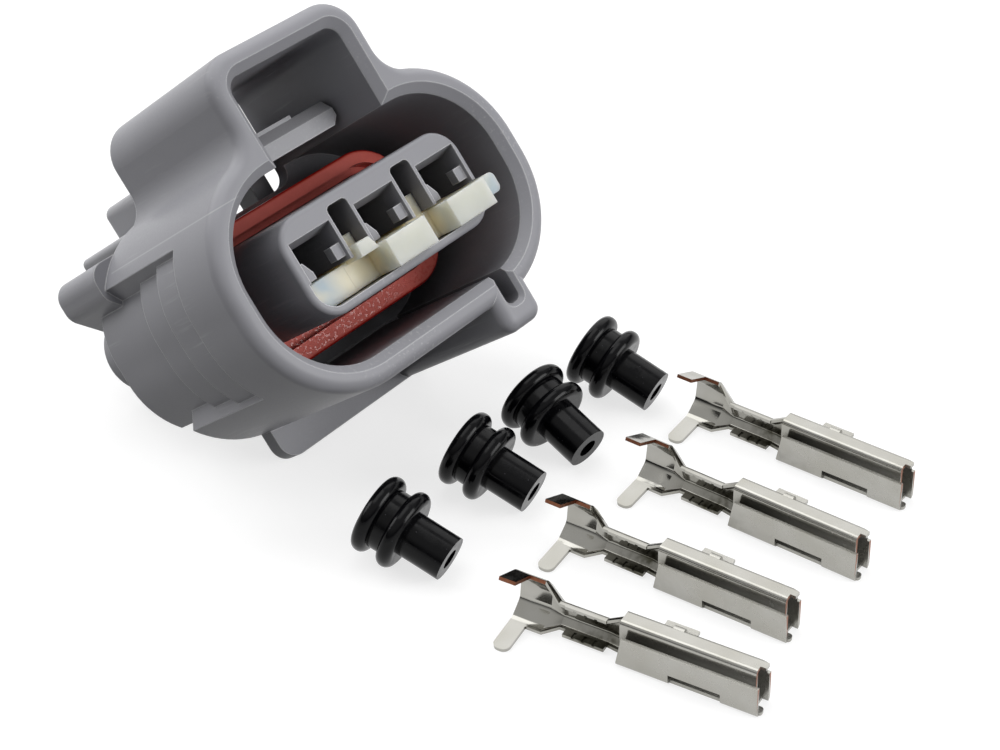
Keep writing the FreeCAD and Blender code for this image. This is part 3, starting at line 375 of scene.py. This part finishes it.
def parting_line(material, place):
    """How pale the line of the mould's halves shows, on the hood's left side only."""
    sides = add(material, "ShaderNodeSeparateXYZ", Vector=place)
    off_line = add(material, "ShaderNodeMath", {"operation": "SUBTRACT"},
                   i0=sides.outputs["Z"], i1=PARTING_HEIGHT_MM * MM)
    off_line = add(material, "ShaderNodeMath", {"operation": "ABSOLUTE"}, i0=off_line.outputs[0])
    line = add(material, "ShaderNodeMapRange", Value=off_line.outputs[0],
               From_Min=PARTING_EDGE_MM[0] * MM, From_Max=PARTING_EDGE_MM[1] * MM,
               To_Min=0.0, To_Max=0.2)
    on_side = add(material, "ShaderNodeMapRange", Value=sides.outputs["X"],
                  From_Min=PARTING_SIDE_MM[0] * MM, From_Max=PARTING_SIDE_MM[1] * MM)
    on_hood = add(material, "ShaderNodeMapRange", Value=sides.outputs["Y"],
                  From_Min=PARTING_END_MM[0] * MM, From_Max=PARTING_END_MM[1] * MM)
    there = add(material, "ShaderNodeMath", {"operation": "MULTIPLY"},
                i0=on_hood.outputs["Result"], i1=on_side.outputs["Result"])
    shown = add(material, "ShaderNodeMath", {"operation": "MULTIPLY"},
                i0=line.outputs["Result"], i1=there.outputs[0])
    return shown.outputs[0]


print("the parting line is about", round(sum(PARTING_EDGE_MM), 2), "mm wide")

# %% [markdown]
# ## Grey moulded polyester: housing and latch
#
# PBT leaves the mould with a satin skin: an even mid grey with a faint lavender cast, a
# broad soft highlight and a very fine eggshell texture. Hollows get painted shade: ambient
# occlusion, which measures how shut in a point is, finds them and darkens their colour.

# %% PBT material
CLOUD_MM = 7
GRAIN_MM = 0.12
HOLLOW_MM = 8
SKIN_DEPTH_MM = 0.02
PALE_MARK_AND_HIGHLIGHT_GREY = "#DCDCDE"
HOLLOW_SHADE_GREY = "#3E3D41"


def moulded_pbt(name, colour, shade):
    """Satin grey that drifts from colour to shade, with grain, drag lines, painted edge highlights and
    painted shade in hollows.
    """
    material, shader = new_material(name)
    place = leaning_place(material)
    cloud = add(material, "ShaderNodeTexNoise", Vector=place, Scale=per_metre(CLOUD_MM),
                Detail=3.0, Roughness=0.55)
    tint = add(material, "ShaderNodeMix", {"data_type": "RGBA"}, i0=cloud.outputs["Fac"],
               i6=linear(colour), i7=linear(shade))
    drag, pale_drag = drag_lines(material, place)
    streaked = add(material, "ShaderNodeMix", {"data_type": "RGBA"}, i0=pale_drag,
                   i6=tint.outputs[2], i7=linear(PALE_MARK_AND_HIGHLIGHT_GREY))
    rounded = add(material, "ShaderNodeBevel", {"samples": 6}, Radius=EDGE_ROUND_MM * MM)
    # Painted highlight on sharp edges, together with the pale parting line and the pale drag lines.
    pale = add(material, "ShaderNodeMath", {"operation": "MAXIMUM"},
               i0=painted_edge_highlight(material, rounded.outputs["Normal"]), i1=parting_line(material, place))
    edged = add(material, "ShaderNodeMix", {"data_type": "RGBA"}, i0=pale.outputs[0],
                i6=streaked.outputs[2], i7=linear(PALE_MARK_AND_HIGHLIGHT_GREY))
    # The eroded tool prints a grain of about 0.12 mm, too fine to see but for its sheen.
    grain = add(material, "ShaderNodeTexNoise", Vector=place, Scale=per_metre(GRAIN_MM), Detail=2.0)
    rough = add(material, "ShaderNodeMapRange", Value=grain.outputs["Fac"],
                From_Min=0.3, From_Max=0.7, To_Min=0.36, To_Max=0.48)
    ripple = add(material, "ShaderNodeBump", Height=drag, Strength=0.05, Distance=SKIN_DEPTH_MM * MM,
                 Normal=rounded.outputs["Normal"])
    bump = add(material, "ShaderNodeBump", Height=grain.outputs["Fac"], Strength=0.05,
               Distance=SKIN_DEPTH_MM * MM, Normal=ripple.outputs["Normal"])
    # Painted shade: where ambient occlusion finds a hollow, the colour is darkened to a dark grey.
    hollow = add(material, "ShaderNodeAmbientOcclusion", {"samples": 6}, Distance=HOLLOW_MM * MM)
    painted_hollow_shade = add(material, "ShaderNodeMapRange", Value=hollow.outputs["AO"],
                    From_Min=0.46, From_Max=0.1, To_Min=0.0, To_Max=0.7)
    shaded = add(material, "ShaderNodeMix", {"data_type": "RGBA"}, i0=painted_hollow_shade.outputs["Result"],
                 i6=edged.outputs[2], i7=linear(HOLLOW_SHADE_GREY))
    link(material, shaded.outputs[2], shader, "Base Color")
    link(material, rough.outputs["Result"], shader, "Roughness")
    link(material, bump.outputs["Normal"], shader, "Normal")
    shader.inputs["IOR"].default_value = 1.53
    shader.inputs["Specular IOR Level"].default_value = 0.28
    return material


dress(["housing"], moulded_pbt("moulded_grey_pbt", "#929297", "#8B8B90"))
# The latch's grey is lighter than the housing's: partly its own slightly lighter tone, partly painted light
# that lifts its bar in the shade of the bay.
dress(["latch_lever"], moulded_pbt("moulded_grey_latch_pbt", "#A6A6AA", "#9C9CA0"))

# %% [markdown]
# ## Red silicone: the ring seal
#
# Faces towards the front get a lighter, duller red and a rougher surface. The channel
# walls and lips are polished and oily, a deep iron oxide red. The surface direction tells
# the two apart. On the lower run of the ring, grease has left small wet spots.

# %% Ring seal material
FRONT_FACING = (-0.75, -0.95)
MOTTLE_MM = 0.8
GREASE_TOP_MM = (-3.6, -4.4)
GREASE_SPOT_MM = 0.26
SEAL_RELIEF_MM = 0.05


def red_silicone():
    """Dull and lighter on faces towards the front, deep and oily elsewhere."""
    material, shader = new_material("oxide_red_silicone")
    place = leaning_place(material)
    along = add(material, "ShaderNodeSeparateXYZ", Vector=leaning_normal(material)).outputs["Y"]
    flat = add(material, "ShaderNodeMapRange", Value=along,
               From_Min=FRONT_FACING[0], From_Max=FRONT_FACING[1])
    mottle = add(material, "ShaderNodeTexNoise", Vector=place, Scale=per_metre(MOTTLE_MM),
                 Detail=4.0, Roughness=0.65)
    dull = add(material, "ShaderNodeMix", {"data_type": "RGBA"}, i0=mottle.outputs["Fac"],
               i6=linear("#DC665A"), i7=linear("#C8564B"))
    deep = add(material, "ShaderNodeMix", {"data_type": "RGBA"}, i0=mottle.outputs["Fac"],
               i6=linear("#BC241A"), i7=linear("#981810"))
    tint = add(material, "ShaderNodeMix", {"data_type": "RGBA"}, i0=flat.outputs["Result"],
               i6=deep.outputs[2], i7=dull.outputs[2])
    height_on_ring = add(material, "ShaderNodeSeparateXYZ", Vector=place).outputs["Z"]
    low = add(material, "ShaderNodeMapRange", Value=height_on_ring,
              From_Min=GREASE_TOP_MM[0] * MM, From_Max=GREASE_TOP_MM[1] * MM)
    spots = add(material, "ShaderNodeTexNoise", Vector=place, Scale=per_metre(GREASE_SPOT_MM), Detail=2.0)
    wet = add(material, "ShaderNodeMapRange", Value=spots.outputs["Fac"], From_Min=0.5, From_Max=0.58)
    greasy = add(material, "ShaderNodeMath", {"operation": "MULTIPLY"},
                 i0=low.outputs["Result"], i1=wet.outputs["Result"])
    dull_rough = add(material, "ShaderNodeMapRange", Value=flat.outputs["Result"],
                     To_Min=0.24, To_Max=0.55)
    rough = add(material, "ShaderNodeMix", {"data_type": "FLOAT"}, i0=greasy.outputs[0],
                i2=dull_rough.outputs["Result"], i3=0.22)
    fine = add(material, "ShaderNodeBump", Height=mottle.outputs["Fac"], Strength=0.1,
               Distance=SEAL_RELIEF_MM * MM)
    bump = add(material, "ShaderNodeBump", Height=greasy.outputs[0], Strength=0.3,
               Distance=SEAL_RELIEF_MM * MM, Normal=fine.outputs["Normal"])
    link(material, tint.outputs[2], shader, "Base Color")
    link(material, rough.outputs[0], shader, "Roughness")
    link(material, bump.outputs["Normal"], shader, "Normal")
    shader.inputs["IOR"].default_value = 1.43
    return material


dress(["ring_seal"], red_silicone())

# %% [markdown]
# ## Natural nylon: the retainer
#
# The retainer is unfilled nylon without pigment. Light enters it and comes out again
# elsewhere, so the blocks that stand out look milky white, the thick bar between them
# turns to straw, and the thin ends at both sides scatter a cold blue. Subsurface
# scattering gives the soft glow, and the three tints follow the place on the piece.

# %% Retainer material
MILKY_MM = (1.0, -0.2)
LEFT_END_MM = (-4.6, -6.4)
RIGHT_END_MM = (8.1, 8.3)
NYLON_CLOUD_MM = 1.6
BLOTCH_MM = 2.2
NYLON_ROUND_MM = 0.12
NYLON_WAVE_MM = 0.08
GLOW_REACH_MM = 3.0


def natural_nylon():
    """Milky, straw or cold blue by place, with light scattered inside it."""
    material, shader = new_material("natural_nylon")
    place = leaning_place(material)
    parts = add(material, "ShaderNodeSeparateXYZ", Vector=place)
    milky = add(material, "ShaderNodeMapRange", Value=parts.outputs["Y"],
                From_Min=MILKY_MM[0] * MM, From_Max=MILKY_MM[1] * MM)
    cloud = add(material, "ShaderNodeTexNoise", Vector=place, Scale=per_metre(NYLON_CLOUD_MM), Detail=3.0)
    straw = add(material, "ShaderNodeMix", {"data_type": "RGBA"}, i0=cloud.outputs["Fac"],
                i6=linear("#EEE4C8"), i7=linear("#DED2B0"))
    milk = add(material, "ShaderNodeMix", {"data_type": "RGBA"}, i0=cloud.outputs["Fac"],
               i6=linear("#CACCC4"), i7=linear("#BCBEB4"))
    body = add(material, "ShaderNodeMix", {"data_type": "RGBA"}, i0=milky.outputs["Result"],
               i6=straw.outputs[2], i7=milk.outputs[2])
    left_end = add(material, "ShaderNodeMapRange", Value=parts.outputs["X"],
                   From_Min=LEFT_END_MM[0] * MM, From_Max=LEFT_END_MM[1] * MM)
    right_end = add(material, "ShaderNodeMapRange", Value=parts.outputs["X"],
                    From_Min=RIGHT_END_MM[0] * MM, From_Max=RIGHT_END_MM[1] * MM)
    ends = add(material, "ShaderNodeMath", {"operation": "MAXIMUM"},
               i0=left_end.outputs["Result"], i1=right_end.outputs["Result"])
    blotch = add(material, "ShaderNodeTexNoise", Vector=place, Scale=per_metre(BLOTCH_MM), Detail=1.0)
    cold = add(material, "ShaderNodeMapRange", Value=blotch.outputs["Fac"],
               From_Min=0.4, From_Max=0.6, To_Min=0.35, To_Max=1.0)
    cold_here = add(material, "ShaderNodeMath", {"operation": "MULTIPLY"},
                    i0=ends.outputs[0], i1=cold.outputs["Result"])
    tint = add(material, "ShaderNodeMix", {"data_type": "RGBA"}, i0=cold_here.outputs[0],
               i6=body.outputs[2], i7=linear("#A6B5BC"))
    rounded = add(material, "ShaderNodeBevel", {"samples": 6}, Radius=NYLON_ROUND_MM * MM)
    wavy = add(material, "ShaderNodeBump", Height=blotch.outputs["Fac"], Strength=0.12,
               Distance=NYLON_WAVE_MM * MM, Normal=rounded.outputs["Normal"])
    link(material, tint.outputs[2], shader, "Base Color")
    link(material, wavy.outputs["Normal"], shader, "Normal")
    shader.inputs["Roughness"].default_value = 0.32
    shader.inputs["IOR"].default_value = 1.53
    shader.inputs["Subsurface Weight"].default_value = 0.95
    shader.inputs["Subsurface Radius"].default_value = (1.0, 0.92, 0.75)
    shader.inputs["Subsurface Scale"].default_value = GLOW_REACH_MM * MM
    return material


dress(["retainer"], natural_nylon())

# %% [markdown]
# ## Black silicone: the wire seals
#
# The small seals are oiled silicone. They are almost black, and the thin film of oil
# gives them narrow highlights along each rounded rib. A little dust and some white
# bloom show as faint specks, each near the middle of a cell half a millimetre wide.

# %% Wire seal material
SMEAR_MM = 0.9
DUST_SPACING_MM = 0.5
OIL_RELIEF_MM = 0.05
WIRE_SEALS = [f"wire_seal_{number}" for number in (1, 2, 3, 4)]


def oiled_silicone():
    """Nearly black, with an uneven film of oil and specks of dust."""
    material, shader = new_material("oiled_black_silicone")
    place = add(material, "ShaderNodeTexCoord").outputs["Object"]
    smear = add(material, "ShaderNodeTexNoise", Vector=place, Scale=per_metre(SMEAR_MM),
                Detail=4.0, Roughness=0.6)
    rough = add(material, "ShaderNodeMapRange", Value=smear.outputs["Fac"],
                From_Min=0.35, From_Max=0.65, To_Min=0.1, To_Max=0.27)
    dust = add(material, "ShaderNodeTexVoronoi", Vector=place, Scale=per_metre(DUST_SPACING_MM),
               Randomness=1.0)
    speck = add(material, "ShaderNodeMapRange", Value=dust.outputs["Distance"],
                From_Min=0.09, From_Max=0.04, To_Min=0.0, To_Max=0.35)
    tint = add(material, "ShaderNodeMix", {"data_type": "RGBA"}, i0=speck.outputs["Result"],
               i6=linear("#050507"), i7=linear("#606066"))
    bump = add(material, "ShaderNodeBump", Height=smear.outputs["Fac"], Strength=0.16,
               Distance=OIL_RELIEF_MM * MM)
    link(material, tint.outputs[2], shader, "Base Color")
    link(material, rough.outputs["Result"], shader, "Roughness")
    link(material, bump.outputs["Normal"], shader, "Normal")
    shader.inputs["IOR"].default_value = 1.41
    shader.inputs["Specular IOR Level"].default_value = 0.22
    return material


dress(WIRE_SEALS, oiled_silicone())

# %% [markdown]
# ## Where a terminal's box ends and its crimps begin
#
# A terminal has a box, which grips a pin, and a crimp end, which is folded round the
# wire. The two are formed by different tools and look different, and the low part of the
# wire crimp's grooves gets painted shade. Two values stored at each corner of the mesh tell
# the material where it is: crimp_end, and a second one for the painted shade in the grooves.

# %% Marks on the terminals
# The first four are shares of a terminal's length, counted from its crimp end.
BOX_START = 0.47
BOX_FADE = 0.03
GROOVES_FROM = (0.22, 0.28)
GROOVES_TO = (0.455, 0.425)
GROOVES_LOW_MM = (2.3, 1.5)
TERMINALS = [f"terminal_{number}" for number in (1, 2, 3, 4)]


def ramp(value, start, end):
    """0 at the start, 1 at the end and beyond."""
    return min(1.0, max(0.0, (value - start) / (end - start)))


def mark_crimp_end(mesh):
    """Store how far each corner is in the crimp end, and in the low part of its grooves."""
    places = [vertex.co.y for vertex in mesh.vertices]
    crimp_tip = max(places)
    box_tip = min(places)
    crimp_end = []
    groove_shade = []
    for vertex in mesh.vertices:
        along = (crimp_tip - vertex.co.y) / (crimp_tip - box_tip)
        crimp_end.append(ramp(along, BOX_START, BOX_START - BOX_FADE))
        in_grooves = ramp(along, *GROOVES_FROM) * ramp(along, *GROOVES_TO)
        groove_shade.append(in_grooves * ramp(vertex.co.z / MM, *GROOVES_LOW_MM))
    for name, values in (("crimp_end", crimp_end), ("groove_shade", groove_shade)):
        mesh.attributes.new(name, "FLOAT", "POINT").data.foreach_set("value", values)


for name in TERMINALS:
    mark_crimp_end(nodes[name].data)
    print(name, "has", len(nodes[name].data.vertices), "marked corners")

# %% [markdown]
# ## Painted shade in the crimps
#
# Painted shade: a dark olive brown goes into the corners and inside the crimps, where
# ambient occlusion finds them shut in, and in blotches on the low part of the wire
# crimp's grooves. In the box's seams the tin is less metallic, a dull film that scatters
# instead of mirroring.

# %% Painted shade on the tin
NOOK_MM = 1.2
POOL_MM = 0.6


def painted_crimp_shade(material, place, crimp_end):
    """How much painted shade darkens the tin, and how metallic the tin looks beside the dull film."""
    nook = add(material, "ShaderNodeAmbientOcclusion", {"samples": 6, "only_local": True},
               Distance=NOOK_MM * MM)
    shut_in = add(material, "ShaderNodeMapRange", Value=nook.outputs["AO"],
               From_Min=0.9, From_Max=0.42, To_Min=0.0, To_Max=0.9)
    shade_in_crimps = add(material, "ShaderNodeMath", {"operation": "MULTIPLY"},
                    i0=shut_in.outputs["Result"], i1=crimp_end)
    groove_shade = add(material, "ShaderNodeAttribute", {"attribute_name": "groove_shade"}).outputs["Fac"]
    pool = add(material, "ShaderNodeTexNoise", Vector=place, Scale=per_metre(POOL_MM), Detail=2.0)
    pooled = add(material, "ShaderNodeMapRange", Value=pool.outputs["Fac"],
                 From_Min=0.35, From_Max=0.6, To_Min=0.95, To_Max=0.55)
    in_grooves = add(material, "ShaderNodeMath", {"operation": "MULTIPLY"},
                     i0=pooled.outputs["Result"], i1=groove_shade)
    # Painted shade in the crimps' corners and in the low part of the grooves.
    painted_shade = add(material, "ShaderNodeMath", {"operation": "MAXIMUM"},
                   i0=shade_in_crimps.outputs[0], i1=in_grooves.outputs[0])
    in_seams = add(material, "ShaderNodeMath", {"operation": "SUBTRACT"},
                   i0=shut_in.outputs["Result"], i1=shade_in_crimps.outputs[0])
    metallic = add(material, "ShaderNodeMapRange", Value=in_seams.outputs[0],
                   From_Max=0.6, To_Min=1.0, To_Max=0.25)
    return painted_shade.outputs[0], metallic.outputs["Result"]


# NOOK_MM is how far from a wall the painted shade reaches.
print("oil lies within", NOOK_MM, "mm of a wall")

# %% [markdown]
# ## Dents and rolling lines
#
# The strip was rolled, so its skin has fine lines that run with the terminals, which lie
# nearly along y. Forming the crimps left shallow dents, which pull the reflections into
# streaks. A fine grit keeps the box from being a perfect mirror. All three are bumps,
# one on top of the other.

# %% Relief of the tin
ROLLING_MM = 0.1
ROLLING_STRETCH = 0.06
ROLLING_DEPTH_MM = 0.006
DENT_MM = 2.4
DENT_DEPTH_MM = 0.3
GRIT_MM = 0.14
GRIT_DEPTH_MM = 0.01


def tin_relief(material, place, crimp_end):
    """The bumped surface direction. Box and crimp end have their own share of dents and grit."""
    stretched = add(material, "ShaderNodeMapping", Vector=place, Scale=(1.0, ROLLING_STRETCH, 1.0))
    lines = add(material, "ShaderNodeTexNoise", Vector=stretched.outputs["Vector"],
                Scale=per_metre(ROLLING_MM), Detail=3.0)
    dents = add(material, "ShaderNodeTexNoise", Vector=place, Scale=per_metre(DENT_MM), Detail=1.0)
    grit = add(material, "ShaderNodeTexNoise", Vector=place, Scale=per_metre(GRIT_MM), Detail=2.0)
    dent_share = add(material, "ShaderNodeMapRange", Value=crimp_end, To_Min=0.08, To_Max=0.32)
    grit_share = add(material, "ShaderNodeMapRange", Value=crimp_end, To_Min=0.12, To_Max=0.02)
    rolled = add(material, "ShaderNodeBump", Height=lines.outputs["Fac"], Strength=0.1,
                 Distance=ROLLING_DEPTH_MM * MM)
    formed = add(material, "ShaderNodeBump", Height=dents.outputs["Fac"],
                 Strength=dent_share.outputs["Result"], Distance=DENT_DEPTH_MM * MM,
                 Normal=rolled.outputs["Normal"])
    gritty = add(material, "ShaderNodeBump", Height=grit.outputs["Fac"],
                 Strength=grit_share.outputs["Result"], Distance=GRIT_DEPTH_MM * MM,
                 Normal=formed.outputs["Normal"])
    return gritty.outputs["Normal"]


print("dents are", DENT_MM, "mm across, rolling lines", ROLLING_MM, "mm apart")

# %% [markdown]
# ## Tin on copper alloy: the terminals
#
# The strip is plated before it is stamped, so its faces are bright tin. Tin is a pale,
# slightly warm metal. It was rolled smooth enough to mirror its neighbours, with a thin
# haze over it. The crimp end was drawn over polished tools and mirrors more than the
# box does.

# %% Tin material
HAZE_MM = 1.1
TARNISH_MM = 2.6


def rolled_tin():
    """Bright tin with haze, painted shade in the crimps and relief, smoother on the crimp end."""
    material, shader = new_material("bright_tin_plating")
    place = add(material, "ShaderNodeTexCoord").outputs["Object"]
    crimp_end = add(material, "ShaderNodeAttribute", {"attribute_name": "crimp_end"}).outputs["Fac"]
    haze = add(material, "ShaderNodeTexNoise", Vector=place, Scale=per_metre(HAZE_MM),
               Detail=4.0, Roughness=0.65)
    satin = add(material, "ShaderNodeMapRange", Value=haze.outputs["Fac"],
                From_Min=0.35, From_Max=0.65, To_Min=0.2, To_Max=0.32)
    rough = add(material, "ShaderNodeMix", {"data_type": "FLOAT"}, i0=crimp_end,
                i2=satin.outputs["Result"], i3=0.11)
    tarnish = add(material, "ShaderNodeTexNoise", Vector=place, Scale=per_metre(TARNISH_MM), Detail=2.0)
    clean = add(material, "ShaderNodeMix", {"data_type": "RGBA"}, i0=tarnish.outputs["Fac"],
                i6=linear("#B0AFAB"), i7=linear("#9C9A91"))
    painted_shade, metallic = painted_crimp_shade(material, place, crimp_end)
    # Painted shade: the tin is mixed towards a dark olive brown where the crimps are shut in and in the
    # grooves.
    tint = add(material, "ShaderNodeMix", {"data_type": "RGBA"}, i0=painted_shade,
               i6=clean.outputs[2], i7=linear("#3B392B"))
    link(material, tint.outputs[2], shader, "Base Color")
    link(material, rough.outputs[0], shader, "Roughness")
    link(material, tin_relief(material, place, crimp_end), shader, "Normal")
    link(material, metallic, shader, "Metallic")
    return material


dress(TERMINALS, rolled_tin())

# %% [markdown]
# ## Cut copper alloy
#
# The die cuts through the plated strip and bares the alloy, which is a warm red brown,
# duller than the tin, with the uneven tint that a sheared and torn edge has.

# %% Copper material
SHEAR_MM = 0.25


def cut_copper():
    """Warm alloy with an uneven tint."""
    material, shader = new_material("cut_copper_alloy_edge")
    place = add(material, "ShaderNodeTexCoord").outputs["Object"]
    shear = add(material, "ShaderNodeTexNoise", Vector=place, Scale=per_metre(SHEAR_MM), Detail=3.0)
    tint = add(material, "ShaderNodeMix", {"data_type": "RGBA"}, i0=shear.outputs["Fac"],
               i6=linear("#A0684C"), i7=linear("#6E4A3C"))
    link(material, tint.outputs[2], shader, "Base Color")
    shader.inputs["Metallic"].default_value = 1.0
    shader.inputs["Roughness"].default_value = 0.38
    return material


copper = cut_copper()
for name in TERMINALS:
    nodes[name].data.materials.append(copper)
print(copper.name, "is the terminals' second material")

# %% [markdown]
# ## Which faces are cut edges
#
# A cut edge is a long narrow face as wide as the sheet is thick. A copy of the mesh has
# its corners merged, its faces are joined into smooth regions, and a region whose area
# divided by half its outline comes to that width is a cut edge. On edges that face down
# or lie on the flap's straight top, the punch has smeared the tin over the cut, so they
# stay plain. So do edges near the table, as in the photograph.

# %% Cut edges
SHEET_MM = 0.25
EDGE_BAND = (0.80, 1.06)
FACES_DOWN = -0.1
FLAP_TOP_MM = 2.4
FLAP_TOP_BAND_MM = 0.05
LOW_EDGE_MM = 1.3
MERGE_MM = 0.001
SMOOTH_COS = math.cos(math.radians(20))


def smooth_regions(mesh):
    """Lists of faces joined across edges at which the surface hardly turns."""
    left = set(mesh.faces)
    while left:
        region = []
        front = [left.pop()]
        while front:
            face = front.pop()
            region.append(face)
            for edge in face.edges:
                for other in edge.link_faces:
                    if other in left and face.normal.dot(other.normal) > SMOOTH_COS:
                        left.remove(other)
                        front.append(other)
        yield region


def is_cut_edge(region):
    """Whether a region is as wide as the sheet is thick, and bare of smeared tin."""
    inside = set(region)
    area = sum(face.calc_area() for face in region)
    rim = sum(edge.calc_length() for face in region for edge in face.edges
              if any(other not in inside for other in edge.link_faces))
    width = 2 * area / rim / MM if rim else 0.0
    upward = sum(face.normal.z * face.calc_area() for face in region) / area
    middle = sum(face.calc_center_median().z * face.calc_area() for face in region) / area
    smeared = upward < FACES_DOWN or abs(middle / MM - FLAP_TOP_MM) < FLAP_TOP_BAND_MM
    return EDGE_BAND[0] < width / SHEET_MM < EDGE_BAND[1] and not smeared


def copper_edges(data):
    """Give the second material to the cut edges of a terminal's mesh, and count the faces."""
    joined = bmesh.new()
    joined.from_mesh(data)
    own_number = joined.faces.layers.int.new("own_number")
    for face in joined.faces:
        face[own_number] = face.index
    bmesh.ops.remove_doubles(joined, verts=joined.verts, dist=MERGE_MM * MM)
    joined.normal_update()
    bare = [face[own_number] for region in smooth_regions(joined) if is_cut_edge(region)
            for face in region if face.calc_center_median().z > LOW_EDGE_MM * MM]
    joined.free()
    for number in bare:
        data.polygons[number].material_index = 1
    return len(bare)


for name in TERMINALS:
    terminal = nodes[name].data
    print(name, "copper faces:", copper_edges(terminal), "of", len(terminal.polygons))
